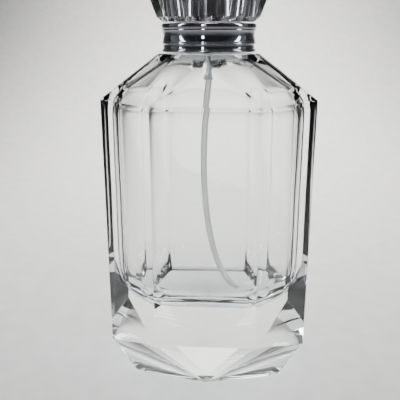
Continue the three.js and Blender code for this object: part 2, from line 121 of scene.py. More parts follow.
def mesh_from_grid(name, grid, ring=False):
    """A closed mesh from points[row, column]. Rows run up the outside, columns run anticlockwise
    seen from above, so faces point outwards. A grid that isn't a ring ends in two poles, which
    are the means of its first and last rows."""
    rows, columns, _ = grid.shape
    if ring:
        points = grid.reshape(-1, 3)
        faces = grid_faces(rows, columns, True).tolist()
    else:
        inner = grid[1:-1]
        poles = np.stack([grid[0].mean(axis=0), grid[-1].mean(axis=0)])
        points = np.concatenate([inner.reshape(-1, 3), poles])
        body = (rows - 2) * columns
        faces = grid_faces(rows - 2, columns, False).tolist()
        faces += fan_faces(body, 0, columns, True).tolist()
        faces += fan_faces(body + 1, body - columns, columns, False).tolist()
    mesh = bpy.data.meshes.new(name)
    mesh.from_pydata(points.tolist(), [], faces)
    mesh.polygons.foreach_set("use_smooth", np.ones(len(mesh.polygons), bool))
    mesh.update()
    return mesh


def piece(name, mesh, body, node, material):
    """Adds a finished piece, which rides on a body and stands for its CAD node."""
    made = bpy.data.objects.new(name, mesh)
    bpy.context.scene.collection.objects.link(made)
    mesh.materials.append(material)
    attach(made, body)
    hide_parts(node)
    return made


def eased(outline, radius, closed=True, steps=5, keep=0.02):
    """An outline of [r, z] points with its corners turned into short quadratic curves, and one
    extra point on each side of a curve, so that the flats between the curves stay flat.
    radius is one number or one for each point."""
    points = np.array(outline, float)
    reach = np.broadcast_to(np.asarray(radius, float), len(points))
    before = np.roll(points, 1, axis=0) - points
    after = np.roll(points, -1, axis=0) - points
    run_in = np.linalg.norm(before, axis=1)
    run_out = np.linalg.norm(after, axis=1)
    size = np.minimum(reach, 0.42 * np.minimum(run_in, run_out))[:, None]
    into = before / run_in[:, None]
    out = after / run_out[:, None]
    t = np.linspace(0, 1, steps)[None, :, None]
    start = (points + size * into)[:, None]
    end = (points + size * out)[:, None]
    curve = (1 - t) ** 2 * start + 2 * t * (1 - t) * points[:, None] + t**2 * end
    lead = (points + (size + keep * MM) * into)[:, None]
    tail = (points + (size + keep * MM) * out)[:, None]
    path = np.concatenate([lead, curve, tail], axis=1)
    if closed:
        return path.reshape(-1, 2)
    middle = path[1:-1].reshape(-1, 2)
    return np.concatenate([points[:1], middle, points[-1:]])


def turned(profile, columns=96):
    """A surface of revolution: each [r, z] point carried round Z, as points[row, column]."""
    angle = 2 * np.pi * np.arange(columns) / columns
    r = profile[:, :1]
    z = np.broadcast_to(profile[:, 1:], (len(profile), columns))
    return np.stack([r * np.cos(angle), r * np.sin(angle), z], axis=-1)


def turned_ring(name, outline, radius=0.08, columns=96):
    """A turned piece with a hole: its outline, in mm, goes up the outside and down the hole."""
    profile = eased(np.array(outline) * MM, np.asarray(radius) * MM)
    return mesh_from_grid(name, turned(profile, columns), ring=True)


def turned_solid(name, outline, radius=0.08, columns=96):
    """A turned piece whose outline, in mm, starts and ends on the axis."""
    profile = eased(np.array(outline) * MM, np.asarray(radius) * MM, closed=False)
    return mesh_from_grid(name, turned(profile, columns))


def swept(path, radius, side, columns):
    """A round section carried along a path: the circle stands square to the path's direction,
    with its first point towards side. Gives points[row, column]."""
    along = np.gradient(path, axis=0)
    along /= np.linalg.norm(along, axis=1, keepdims=True)
    side = side - np.sum(side * along, axis=1, keepdims=True) * along
    side /= np.linalg.norm(side, axis=1, keepdims=True)
    third = np.cross(along, side)
    angle = 2 * np.pi * np.arange(columns) / columns
    across = side[:, None] * np.cos(angle)[:, None] + third[:, None] * np.sin(angle)[:, None]
    return path[:, None] + radius * across


# ---- Rounded gems: octagonal bodies with softened edges -----------------------------------

ARC = 8  # points round each softened corner
FLAT = np.array([0.015, 0.2, 0.5, 0.8, 0.985])  # places along each flat side
BAND = np.array([0.01, 0.25, 0.5, 0.75, 0.99])  # places up each flat band
OUTWARD = np.array([1.0, 1.0, 0.0])


def octagon(x, y, cut):
    """Corners of an octagon with half sizes x and y, cut where |x| + |y| = cut, anticlockwise
    from the corner above the +X side."""
    a, b = cut - x, cut - y
    right = [(x, a), (b, y), (-b, y), (-x, a)]
    return np.array(right + [(-px, -py) for px, py in right])


def level(corners, z):
    """Eight corner points at height z, repeated for each of a corner's arc points."""
    corners = np.asarray(corners, float)
    if corners.ndim == 2:
        corners = np.repeat(corners[:, None], ARC, axis=1)
    height = np.broadcast_to(np.asarray(z, float).reshape(-1, 1, 1), (*corners.shape[:2], 1))
    return np.concatenate([corners, height], axis=-1)


def circle_level(radius, z):
    """A circle as eight arcs that meet, each standing for one corner."""
    turn = (np.arange(8)[:, None] + np.linspace(0, 1, ARC)) * np.pi / 4
    return level(np.stack([radius * np.cos(turn), radius * np.sin(turn)], axis=-1), z)


def band_normals(low, high):
    """Outward unit normal of each of the eight facets between two levels. Facet k lies between
    corner k - 1 and corner k, and its normal is the cross product of its diagonals."""
    low_left, high_left = np.roll(low[:, -1], 1, axis=0), np.roll(high[:, -1], 1, axis=0)
    normal = np.cross(high[:, 0] - low_left, high_left - low[:, 0])
    return normal / np.linalg.norm(normal, axis=1, keepdims=True)


def softened_gem(levels, radius, bottom, top):
    """A gem between stacked levels, swollen by a ball of the given radius. Round each corner the
    ball's normal swings from one facet's normal to the next, and up each edge it swings from the
    band below to the band above. Gives points[row, column] from the lowest level up."""
    levels = np.stack(levels)
    inner = np.stack([band_normals(a, b) for a, b in zip(levels[:-1], levels[1:])])
    ends = [np.broadcast_to(np.array(end, float), (1, 8, 3)) for end in (bottom, top)]
    normals = np.concatenate([ends[0], inner, ends[1]])
    following = np.roll(normals, -1, axis=1)
    swing = np.linspace(0, 1, ARC)
    s = swing[None, :, None, None, None]
    t = swing[None, None, None, :, None]
    below = (1 - t) * normals[:-1, None, :, None] + t * following[:-1, None, :, None]
    above = (1 - t) * normals[1:, None, :, None] + t * following[1:, None, :, None]
    ball = (1 - s) * below + s * above
    ball /= np.linalg.norm(ball, axis=-1, keepdims=True)
    arcs = levels[:, None] + radius * ball
    start = arcs[..., -1:, :]
    end = np.roll(arcs[..., :1, :], -1, axis=2)
    place = FLAT[:, None]
    sides = (1 - place) * start + place * end
    keys = np.concatenate([arcs, sides], axis=-2)
    keys = keys.reshape(len(levels), ARC, -1, 3)
    rise = BAND[:, None, None]
    bands = (1 - rise) * keys[:-1, -1][:, None] + rise * keys[1:, 0][:, None]
    stacked = [np.concatenate([key, band]) for key, band in zip(keys[:-1], bands)]
    return np.concatenate([*stacked, keys[-1]])


def gem_circle(radius, z):
    """A circle sampled at the same directions as a softened gem's columns."""
    turn = np.arange(8)[:, None] + np.linspace(0, 1, ARC)
    columns = len(FLAT) + ARC
    first = turn[:, :1]
    spread = first + np.arange(columns) / columns
    angle = spread.reshape(-1) * np.pi / 4
    return np.stack([radius * np.cos(angle), radius * np.sin(angle), np.full(angle.shape, z)], axis=-1)


def gem_rings(profile):
    """Rings of a surface of revolution, one for each [r, z] point, on a gem's own columns."""
    return np.stack([gem_circle(r, z) for r, z in profile])


# ---- Glass bottle -------------------------------------------------------------------------

HALF_WIDTH = GLASS_HIGH[0]
HALF_DEPTH = GLASS_HIGH[1]
CORNER_CUT = HALF_WIDTH + HALF_DEPTH - 16.3 * MM
FOLD_Z = 88.6 * MM
SHOULDER_Z = 101.5 * MM
LAND_RADIUS = 14.8 * MM
BEAD_TOP_Z = GLASS_HIGH[2]
EDGE = 0.5 * MM
BASE = 28 * MM
CAVITY_SOFT = 10 * MM
SIDE_WALL, FRONT_WALL, CHAMFER_WALL = 5.3 * MM, 3.4 * MM, 2.3 * MM


def foot_level(inset):
    """The foot's outline: at each side corner a short cut edge, and at the front and the back
    one shallow point that two corners share."""
    side_x = HALF_WIDTH - 7.6 * MM - inset
    side_y = 6.6 * MM - inset * 0.4
    cut_x = side_x - 3.9 * MM
    cut_y = 8.5 * MM - inset
    point_y = HALF_DEPTH - 9.5 * MM - inset
    blend = np.linspace(0, 1, ARC)[:, None]
    side = (1 - blend) * np.array([side_x, side_y]) + blend * np.array([cut_x, cut_y])
    front = np.broadcast_to(np.array([0.0, point_y]), (ARC, 2))
    flip = np.array([-1.0, 1.0])
    half = np.stack([side, front, front, (side * flip)[::-1]])
    return level(np.concatenate([half, -half]), inset)


def glass_outside():
    """Rows of the outer faces, from the foot up to the shoulder's round land."""
    plan = octagon(HALF_WIDTH - EDGE, HALF_DEPTH - EDGE, CORNER_CUT - math.sqrt(2) * EDGE)
    side, front = 11 * MM + 0.3 * EDGE, 18.9 * MM + 0.3 * EDGE
    bevel_z = np.array([side, front, front, side] * 2)
    levels = [
        foot_level(EDGE),
        level(plan, bevel_z),
        level(plan, FOLD_Z - 0.3 * EDGE),
        circle_level(LAND_RADIUS - EDGE, SHOULDER_Z - EDGE),
    ]
    return softened_gem(levels, EDGE, (0, 0, -1), (0, 0, 1))


def glass_cavity():
    """Rows of the cavity's faces, from its floor up to the ring round the throat. The walls
    wander slightly, as blown glass does: in and out with height and with the way round."""
    soft = CAVITY_SOFT
    x, y = HALF_WIDTH - SIDE_WALL - soft, HALF_DEPTH - FRONT_WALL - soft
    plan = octagon(x, y, CORNER_CUT - math.sqrt(2) * (CHAMFER_WALL + soft))
    roof_z = SHOULDER_Z - 3.2 * MM
    levels = [
        level(plan, BASE + soft),
        level(plan, FOLD_Z - 0.8 * MM - 0.35 * soft),
        circle_level(LAND_RADIUS - 2.2 * MM - 0.75 * soft, roof_z - 0.72 * soft),
    ]
    rows = softened_gem(levels, soft, (0, 0, -1), (0, 0, 1))
    angle = np.arctan2(rows[..., 1], rows[..., 0])
    height = (rows[..., 2] - BASE) / (FOLD_Z - BASE)
    wander = np.sin(3.1 * np.pi * height + 2 * angle) + 0.6 * np.sin(5.3 * np.pi * height - 3 * angle)
    fade = np.clip(4 * height, 0, 1) * np.clip(4 * (1 - height), 0, 1)
    return rows * (1 + 0.0022 * (wander * fade)[..., None] * OUTWARD)


def neck_profile():
    """[r, z] points of the neck: fillet, neck, bead, lip and the bore down to the throat."""
    neck, bead, bore = 6.5 * MM, 7.4 * MM, 4.9 * MM
    outline = np.array(
        [
            [neck + 3 * MM, SHOULDER_Z],
            [neck, SHOULDER_Z],
            [neck, BEAD_TOP_Z - 2.9 * MM],
            [bead, BEAD_TOP_Z - 2.4 * MM],
            [bead, BEAD_TOP_Z],
            [bore, BEAD_TOP_Z],
            [bore, SHOULDER_Z - 2.4 * MM],
            [bore + 1.2 * MM, SHOULDER_Z - 3.0 * MM],
        ]
    )
    radii = np.array([0, 0.5, 0.4, 0.4, 0.5, 0.5, 1.0, 0]) * MM
    return eased(outline, radii, closed=False, steps=6)


def glass_bottle():
    """One closed skin: foot, outer faces, neck, bore, cavity and the cavity's floor."""
    outside = glass_outside()
    inside = glass_cavity()[::-1]
    foot = outside[:1] * UP
    floor = inside[-1:] * UP
    near_foot = outside[:1] * (UP + 0.97 * OUTWARD)
    near_floor = inside[-1:] * (UP + 0.97 * OUTWARD)
    neck = gem_rings(neck_profile())
    grid = np.concatenate([foot, near_foot, outside, neck, inside, near_floor, floor])
    return mesh_from_grid("glass_bottle_mesh", grid)


# ---- Crimp, collar and insert -------------------------------------------------------------


def reach(node):
    """A turned node's outer radius, lowest height and highest height, in mm."""
    low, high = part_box(node)
    return high[0] / MM, low[2] / MM, high[2] / MM


def gasket():
    r, low, high = reach("neck_gasket")
    return turned_ring("neck_gasket_mesh", [(r, low), (r, high), (4.9, high), (4.9, low)], 0.15)


def ferrule():
    """A drawn aluminium cup over the bead, its plate holed for the pump and its lip rolled in."""
    r, low, high = reach("crimp_ferrule")
    wall, hole, lip = 0.4, 4.25, 6.65
    outline = [
        (lip, low),
        (r, low),
        (r, high),
        (hole, high),
        (hole, high - wall),
        (r - wall, high - wall),
        (r - wall, low + wall + 0.45),
        (lip, low + wall),
    ]
    return turned_ring("crimp_ferrule_mesh", outline, [0.15, 0.5, 0.6, 0.1, 0.1, 0.3, 0.2, 0.1])


def collar_insert():
    """The moulded ring that grips the ferrule, with the spigot that the cap slides over."""
    r, low, high = reach("collar_insert")
    bore, boss, boss_bore, shoulder = 8.1, 7.8, 7.05, 8.85
    under, step = COLLAR_TOP / MM - 0.85, COLLAR_TOP / MM + 0.75
    outline = [
        (bore, low),
        (r, low),
        (r, under),
        (shoulder, under),
        (shoulder, step),
        (boss, step),
        (boss, high),
        (boss_bore, high),
        (boss_bore, COLLAR_TOP / MM),
        (bore, COLLAR_TOP / MM),
    ]
    return turned_ring("collar_insert_mesh", outline, 0.18)


def swell(low, high, radius, height, power, points):
    """A bead or a hollow up a turned profile: the radius grows by height times a sine lobe
    raised to a power, which squares the lobe off as it falls."""
    share = np.linspace(0, 1, points)
    lobe = np.sin(np.pi * share) ** power
    return np.stack([radius + height * lobe, low + (high - low) * share], axis=-1)


def collar_ring():
    """The chromed collar, from the lip up: lip, recessed band, ridge, hollow main band, bead."""
    r, low, high = reach("collar_ring")
    tall = high - low

    def at(share):
        return low + share * tall

    outside = [
        swell(at(0.0), at(0.115), r - 0.45, 0.45, 0.45, 12),
        swell(at(0.135), at(0.255), r - 0.42, -0.03, 1.0, 6),
        swell(at(0.27), at(0.345), r - 0.4, 0.36, 0.5, 10),
        swell(at(0.36), at(0.775), r - 0.12, -0.42, 0.8, 20),
        swell(at(0.79), at(1.0), r - 0.45, 0.45, 0.4, 16),
    ]
    flange_hole, bore, flange = 9.0, r - 1.35, 0.7
    inside = [
        (flange_hole + 0.1, high),
        (flange_hole, high - 0.1),
        (flange_hole, high - flange),
        (bore, high - flange),
        (bore, low + 0.15),
        (bore + 0.15, low),
    ]
    profile = np.concatenate([*outside, np.array(inside)]) * MM
    return mesh_from_grid("collar_ring_mesh", turned(profile, 160), ring=True)


# ---- Pump ---------------------------------------------------------------------------------


def pump_housing():
    """The pump's moulded body: tube socket, bulb, ball seat, chamber, flange and upstand."""
    flange_r, socket_z, top = reach("pump_housing")
    socket_bore, socket_r, bulb, body = 1.05, 1.4, 1.75, 4.1
    socket_top, seat, chamber, flange = socket_z + 4, 98.15, 100.15, top - 3.2
    outline = [
        (socket_bore, socket_z),
        (socket_r, socket_z),
        (socket_r, socket_top - 0.6),
        (socket_r - 0.12, socket_top - 0.1),
        (bulb, socket_top + 0.4),
        (bulb, seat + 0.4),
        (body, chamber + 0.4),
        (body, flange),
        (flange_r, flange),
        (flange_r, flange + 1),
        (body, flange + 1),
        (body, top),
        (3, top),
        (3, chamber),
        (1.25, chamber),
        (1.25, seat),
        (0.6, seat - 0.65),
        (0.6, socket_top),
        (socket_bore, socket_top),
    ]
    return turned_ring("pump_housing_mesh", outline, 0.2, 64)


def turret():
    r, low, high = reach("turret")
    hole, bore, plate = 1.7, 4.25, high - 0.8
    outline = [(r, low), (r, high - 0.3), (r - 0.3, high), (hole, high)]
    outline += [(hole, plate), (bore, plate), (bore, low)]
    return turned_ring("turret_mesh", outline, 0.12, 64)


def stem_seal():
    r, low, high = reach("stem_seal")
    return turned_ring("stem_seal_mesh", [(r, low), (r, high), (1.7, high), (1.7, low)], 0.12, 64)


def piston():
    """A sleeve with a thin wiping lip at each end."""
    lip, low, high = reach("piston")
    bore, waist = 1.7, lip - 0.5
    outline = [
        (lip, low),
        (waist, low + 0.5),
        (waist, high - 0.5),
        (lip, high),
        (bore, high),
        (bore, low),
    ]
    return turned_ring("piston_mesh", outline, [0.04, 0.2, 0.2, 0.04, 0.1, 0.1], 64)


def valve_core():
    """The stem's lower plug: the spring's plate and the spigot in the stem's bore."""
    r, low, high = reach("valve_core")
    plate, spigot = 0.8, 0.6
    outline = [(0, low), (r, low), (r, low + plate), (spigot, low + plate), (spigot, high), (0, high)]
    return turned_solid("valve_core_mesh", outline, 0.12, 64)


def stem():
    r, low, high = reach("stem")
    return turned_ring("stem_mesh", [(r, low), (r, high), (0.7, high), (0.7, low)], 0.12, 64)


def return_spring():
    """A compression spring: the wire's centre climbs slowly at both ends, which lie flat, and
    evenly between them, as a smoothed ramp of the turn angle."""
    r, low, high = reach("return_spring")
    wire, turns = 0.18, 5.5
    share = np.linspace(0, 1, 360)
    climb = share - 0.75 * np.sin(2 * np.pi * share) / (2 * np.pi)
    angle = 2 * np.pi * turns * share
    z = low + wire + (high - low - 2 * wire) * climb
    coil = r - wire
    path = np.stack([coil * np.cos(angle), coil * np.sin(angle), z], axis=-1) * MM
    side = np.stack([np.cos(angle), np.sin(angle), np.zeros_like(angle)], axis=-1)
    section = swept(path, wire * MM, side, 14)
    ends = [np.broadcast_to(path[i], section[:1].shape) for i in (0, -1)]
    return mesh_from_grid("return_spring_mesh", np.concatenate([ends[0], section, ends[1]]))


def inlet_ball():
    """A sphere about its seat centre: latitude up the rows and longitude round the columns."""
    low, high = (np.array(corner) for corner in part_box("inlet_ball"))
    centre, radius = (low[2] + high[2]) / 2, (high[2] - low[2]) / 2
    latitude = np.linspace(-0.5, 0.5, 33)[:, None] * np.pi
    profile = np.concatenate([radius * np.cos(latitude), centre + radius * np.sin(latitude)], axis=1)
    return mesh_from_grid("inlet_ball_mesh", turned(profile, 48))


def centripetal(points, steps):
    """A smooth curve through points, after Catmull and Rom: each stretch blends the lines
    through its four nearest points, with knots spaced by the square root of their distance."""
    first, last = 2 * points[0] - points[1], 2 * points[-1] - points[-2]
    p = np.concatenate([[first], points, [last]])
    knots = np.concatenate([[0], np.cumsum(np.sqrt(np.linalg.norm(np.diff(p, axis=0), axis=1)))])
    share = np.linspace(0, 1, steps, endpoint=False)
    p0, p1, p2, p3 = (p[i : len(p) - 3 + i][:, None] for i in range(4))
    t0, t1, t2, t3 = (knots[i : len(p) - 3 + i][:, None, None] for i in range(4))
    t = t1 + (t2 - t1) * share[None, :, None]

    def mix(a, b, low, high):
        return (a * (high - t) + b * (t - low)) / (high - low)

    a, b, c = mix(p0, p1, t0, t1), mix(p1, p2, t1, t2), mix(p2, p3, t2, t3)
    curve = mix(mix(a, b, t0, t2), mix(b, c, t1, t3), t1, t2)
    return np.concatenate([curve.reshape(-1, 3), points[-1:]])


TUBE_FOOT_Z, TUBE_DROP = 30.15, 62.85  # height of the tube's cut end, and its fall from the socket
TUBE_ROUTE = [
    (0, 0, 96.85),
    (0, 0, 92.5),
    (-0.6, 0, TUBE_FOOT_Z + 0.9 * TUBE_DROP),
    (-1.3, -0.4, TUBE_FOOT_Z + 0.66 * TUBE_DROP),
    (-0.6, -1.4, TUBE_FOOT_Z + 0.42 * TUBE_DROP),
    (1.6, -3, TUBE_FOOT_Z + 0.22 * TUBE_DROP),
    (5.2, -4.8, TUBE_FOOT_Z + 0.08 * TUBE_DROP),
    (9.6, -6, TUBE_FOOT_Z),
]


def dip_tube():
    """The tube's skin goes down the outside along the route and back up the bore."""
    path = centripetal(np.array(TUBE_ROUTE) * MM, 24)
    side = np.broadcast_to(np.array([1.0, 0.0, 0.0]), path.shape)
    outer = swept(path, 0.95 * MM, side, 32)
    bore = swept(path, 0.6 * MM, side, 32)
    return mesh_from_grid("dip_tube_mesh", np.concatenate([outer, bore[::-1]]), ring=True)


# ---- Actuator -----------------------------------------------------------------------------

NOZZLE_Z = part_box("nozzle_insert")[0][2] / MM + 1.6


def drill(made, radius, near, far, z):
    """Cuts a round hole along Y out of a finished piece, with a closed rod as the cutter."""
    profile = np.array([[0, near], [radius, near], [radius, far], [0, far]]) * MM
    rod = turned(eased(profile, 0, closed=False), 48)
    upright = rod[..., 2].copy()
    rod[..., 2] = z * MM - rod[..., 1]
    rod[..., 1] = upright
    cutter = bpy.data.objects.new("cutter", mesh_from_grid("cutter_mesh", rod))
    bpy.context.scene.collection.objects.link(cutter)
    cut = made.modifiers.new("hole", "BOOLEAN")
    cut.operation = "DIFFERENCE"
    cut.solver = "EXACT"
    cut.object = cutter
    view = bpy.context.evaluated_depsgraph_get()
    whole = bpy.data.meshes.new_from_object(made.evaluated_get(view))
    made.modifiers.clear()
    made.data = whole
    whole.set_sharp_from_angle(angle=math.radians(40))
    bpy.data.objects.remove(cutter)


def actuator():
    """The push button under its sleeve: stem socket, skirt, and a crown as wide as the skirt."""
    r, low, high = reach("actuator")
    socket, skirt = 1.7, 0.5
    recess = high - 5.7
    outline = [
        (0, NOZZLE_Z),
        (socket, NOZZLE_Z),
        (socket, recess),
        (r - skirt, recess),
        (r - skirt, low),
        (r, low),
        (r, high),
        (0, high),
    ]
    return turned_solid("actuator_mesh", outline, 0.15, 96)


def sleeve():
    """A thin chromed cap over the button, with a broad soft edge and a slightly dished top."""
    r, low, high = reach("actuator_sleeve")
    wall = 0.5
    outline = [
        (0, high - wall),
        (r - wall, high - wall),
        (r - wall, low),
        (r, low),
        (r, high),
        (4.6, high),
        (3.9, high - 0.15),
        (0, high - 0.15),
    ]
    return turned_solid("actuator_sleeve_mesh", outline, [0, 0.2, 0.1, 0.1, 0.75, 0.5, 0.5, 0], 128)


def nozzle_insert():
    """The swirl insert, turned about -Y: a plug with a dished face and a fine orifice."""
    front = -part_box("nozzle_insert")[0][1] / MM
    back, radius, orifice = front - 2.6, 1.6, 0.25
    outline = [
        (radius, back),
        (radius, front),
        (radius * 0.72, front),
        (radius * 0.6, front - 0.18),
        (orifice + 0.2, front - 0.5),
        (orifice, front - 0.6),
        (orifice, back),
    ]
    profile = eased(np.array(outline) * MM, np.array([0.1, 0.15, 0.1, 0.1, 0.1, 0.05, 0.05]) * MM)
    upright = turned(profile, 64)
    lying = np.stack([upright[..., 0], -upright[..., 2], upright[..., 1] + NOZZLE_Z * MM], axis=-1)
    return mesh_from_grid("nozzle_insert_mesh", lying, ring=True)


# ---- Cap ----------------------------------------------------------------------------------


def cap_shell():
    """The clear shell: from the bore's roof down the bore, round the foot, up the flared facets
    and the crown to the table."""
    low, high = (np.array(corner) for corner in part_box("cap_shell"))
    edge = 0.35 * MM
    girdle = high[0]
    seat, bevel, table = 12.7 * MM, 14.2 * MM, 13.6 * MM
    bevel_z = low[2] + 1.5 * MM
    girdle_z = bevel_z + (girdle - bevel) / math.tan(math.radians(20))

    def ring(half, z):
        half = half - edge
        return level(octagon(half, half, half * math.sqrt(2)), z)

    levels = [
        ring(seat, low[2] + edge),
        ring(bevel, bevel_z),
        ring(girdle, girdle_z),
        ring(girdle, girdle_z + 1.2 * MM),
        ring(table, high[2] - edge),
    ]
    outside = softened_gem(levels, edge, (0, 0, -1), (0, 0, 1))
    bore, roof = reach("cap_liner")[0] * MM + 0.15 * MM, high[2] - 5 * MM
    outline = np.array([[0, roof], [bore, roof], [bore, low[2]], [bore + 0.8 * MM, low[2]]])
    inside = gem_rings(eased(outline, np.array([0, 0.4, 0.3, 0]) * MM, closed=False, steps=6))
    table_rings = outside[-1:] * (UP + 0.97 * OUTWARD), outside[-1:] * UP
    return mesh_from_grid("cap_shell_mesh", np.concatenate([inside, outside, *table_rings]))


def cup(name, node, wall, plate, radii, columns):
    """A cup that opens downwards, with its wall and its roof plate."""
    r, low, high = reach(node)
    roof = high - plate
    outline = [(0, roof), (r - wall, roof), (r - wall, low), (r, low), (r, high), (0, high)]
    return turned_solid(name, outline, [0, *radii, 0], columns)


def cap_liner():
    return cup("cap_liner_mesh", "cap_liner", 0.4, 0.4, [0.5, 0.08, 0.08, 0.7], 160)


def cap_insert():
    return cup("cap_insert_mesh", "cap_insert", 1.2, 1.0, [0.5, 0.35, 0.2, 0.5], 96)


# ---- Shared surface effects ---------------------------------------------------------------


class Patch:
    """A node tree being wired up: node() adds a node, sets its fields and links or sets inputs."""

    def __init__(self, tree):
        self.tree = tree

    def node(self, kind, inputs=None, **fields):
        made = self.tree.nodes.new("ShaderNode" + kind)
        for name, value in fields.items():
            setattr(made, name, value)
        for name, value in (inputs or {}).items():
            if isinstance(value, bpy.types.NodeSocket):
                self.tree.links.new(value, made.inputs[name])
            else:
                made.inputs[name].default_value = value
        return made

    def math(self, operation, a, b=0.5):
        return self.node("Math", {0: a, 1: b}, operation=operation).outputs[0]

    def spread(self, value, low, high, to_low=0.0, to_high=1.0):
        """The value's range from low to high, stretched over to_low and to_high."""
        inputs = {"Value": value, "From Min": low, "From Max": high, "To Min": to_low, "To Max": to_high}
        return self.node("MapRange", inputs, clamp=True).outputs["Result"]

    def group_inputs(self):
        return self.tree.nodes.new("NodeGroupInput").outputs

    def group_outputs(self):
        return self.tree.nodes.new("NodeGroupOutput").inputs


def effect(name, inputs, outputs):
    """An empty shader node group with float inputs, given with their defaults, and outputs."""
    group = bpy.data.node_groups.new(name, "ShaderNodeTree")
    for label, default in inputs.items():
        socket = group.interface.new_socket(label, in_out="INPUT", socket_type="NodeSocketFloat")
        socket.default_value = default
    for label in outputs:
        group.interface.new_socket(label, in_out="OUTPUT", socket_type="NodeSocketFloat")
    patch = Patch(group)
    return patch, patch.group_inputs(), patch.group_outputs()


def build_handling_wear():
    """Polish that varies: broad smears and fine specks round a mean roughness. Smears are noise
    at the given scale, specks are noise nine times finer, and Height is their weighted sum."""
    patch, given, out = effect(
        "handling_wear", {"Scale": 60.0, "Roughness": 0.1, "Variation": 0.05}, ["Roughness", "Height"]
    )
    place = patch.node("TexCoord").outputs["Object"]
    smears = patch.node("TexNoise", {"Vector": place, "Scale": given["Scale"], "Detail": 4.0}).outputs[0]
    fine = patch.math("MULTIPLY", given["Scale"], 9.0)
    specks = patch.node("TexNoise", {"Vector": place, "Scale": fine, "Detail": 2.0}).outputs[0]
    both = patch.math("ADD", patch.math("MULTIPLY", smears, 0.7), patch.math("MULTIPLY", specks, 0.3))
    swing = patch.math("MULTIPLY", patch.math("SUBTRACT", both, 0.5), given["Variation"])
    level_set = patch.math("ADD", given["Roughness"], patch.math("MULTIPLY", swing, 4.0))
    patch.tree.links.new(patch.math("MAXIMUM", level_set, 0.0), out["Roughness"])
    patch.tree.links.new(both, out["Height"])
    return patch.tree


def build_hairlines():
    """Fine scratches: noise drawn out twenty-five times along one slanting direction, kept only
    where it crosses its middle value, so that each crossing leaves one thin line."""
    patch, given, out = effect("hairlines", {"Scale": 90.0, "Width": 0.02, "Slant": 0.5}, ["Mask"])
    place = patch.node("TexCoord").outputs["Object"]
    turn = patch.node("CombineXYZ", {"X": given["Slant"], "Y": given["Slant"], "Z": 0.4})
    laid = patch.node("Mapping", {"Vector": place, "Rotation": turn.outputs[0], "Scale": (1.0, 1.0, 0.04)})
    noise = patch.node("TexNoise", {"Vector": laid.outputs[0], "Scale": given["Scale"], "Detail": 1.0})
    off = patch.math("ABSOLUTE", patch.math("SUBTRACT", noise.outputs[0], 0.5))
    line = patch.math("SUBTRACT", 1.0, patch.math("DIVIDE", off, given["Width"]))
    patch.tree.links.new(patch.math("MAXIMUM", line, 0.0), out["Mask"])
    return patch.tree


def build_moulded_skin():
    """The fine bloom of a mould's spark-eroded face: the edges of small cells, softened with
    noise, and a slow Tone that drifts from batch to batch over the piece."""
    patch, given, out = effect("moulded_skin", {"Scale": 2500.0, "Drift": 80.0}, ["Height", "Tone"])
    place = patch.node("TexCoord").outputs["Object"]
    cells = patch.node("TexVoronoi", {"Vector": place, "Scale": given["Scale"]}).outputs["Distance"]
    noise = patch.node("TexNoise", {"Vector": place, "Scale": given["Scale"], "Detail": 3.0}).outputs[0]
    patch.tree.links.new(patch.math("ADD", cells, noise), out["Height"])
    tone = patch.node("TexNoise", {"Vector": place, "Scale": given["Drift"], "Detail": 2.0}).outputs[0]
    patch.tree.links.new(patch.spread(tone, 0.35, 0.65), out["Tone"])
    return patch.tree


def build_turning_marks():
    """Lathe and drawing marks: the distance from Z plus the height, multiplied by the pitch,
    drives a sine, and noise breaks its depth up so that no two rings are alike."""
    patch, given, out = effect("turning_marks", {"Pitch": 12000.0, "Break": 400.0}, ["Height"])
    place = patch.node("TexCoord").outputs["Object"]
    axes = patch.node("SeparateXYZ", {0: place}).outputs
    square = patch.math("ADD", patch.math("POWER", axes[0], 2.0), patch.math("POWER", axes[1], 2.0))
    along = patch.math("ADD", patch.math("SQRT", square), axes[2])
    wave = patch.math("SINE", patch.math("MULTIPLY", along, given["Pitch"]))
    noise = patch.node("TexNoise", {"Vector": place, "Scale": given["Break"], "Detail": 2.0}).outputs[0]
    patch.tree.links.new(patch.math("MULTIPLY", wave, noise), out["Height"])
    return patch.tree


WEAR = build_handling_wear()
HAIRLINES = build_hairlines()
SKIN = build_moulded_skin()
MARKS = build_turning_marks()

# ---- Materials ----------------------------------------------------------------------------


def surface(name, constants):
    """A material with one Principled shader, its constants set on the shader's own sockets."""
    made = bpy.data.materials.new(name)
    made.use_nodes = True
    shader = made.node_tree.nodes["Principled BSDF"]
    for label, value in constants.items():
        shader.inputs[label].default_value = value
    return made, Patch(made.node_tree), shader


def placed_group(patch, group, values):
    """A shared effect placed in a material with that material's own values."""
    made = patch.tree.nodes.new("ShaderNodeGroup")
    made.node_tree = group
    for label, value in values.items():
        made.inputs[label].default_value = value
    return made.outputs


def raised(patch, shader, height, strength, distance):
    """Feeds a height to a Bump node and the bumped normal to the shader."""
    bump = patch.node("Bump", {"Height": height, "Strength": strength, "Distance": distance})
    patch.tree.links.new(bump.outputs["Normal"], shader.inputs["Normal"])


def two_tone(patch, shader, mask, dark, light_tone):
    """Mixes two colours by a mask into the base colour."""
    mix = patch.node("Mix", {"Factor": mask}, data_type="RGBA")
    mix.inputs["A"].default_value = (*dark, 1)
    mix.inputs["B"].default_value = (*light_tone, 1)
    patch.tree.links.new(mix.outputs["Result"], shader.inputs["Base Color"])


def let_light_through(patch, shader):
    """Shadow rays pass a clear body, so that it lights the floor under it as real glass does."""
    ray = patch.node("LightPath").outputs["Is Shadow Ray"]
    clear = patch.node("BsdfTransparent", {"Color": (0.9, 0.92, 0.92, 1)}).outputs[0]
    either = patch.node("MixShader", {0: ray, 1: shader.outputs[0], 2: clear}).outputs[0]
    end = patch.tree.nodes["Material Output"]
    patch.tree.links.new(either, end.inputs["Surface"])


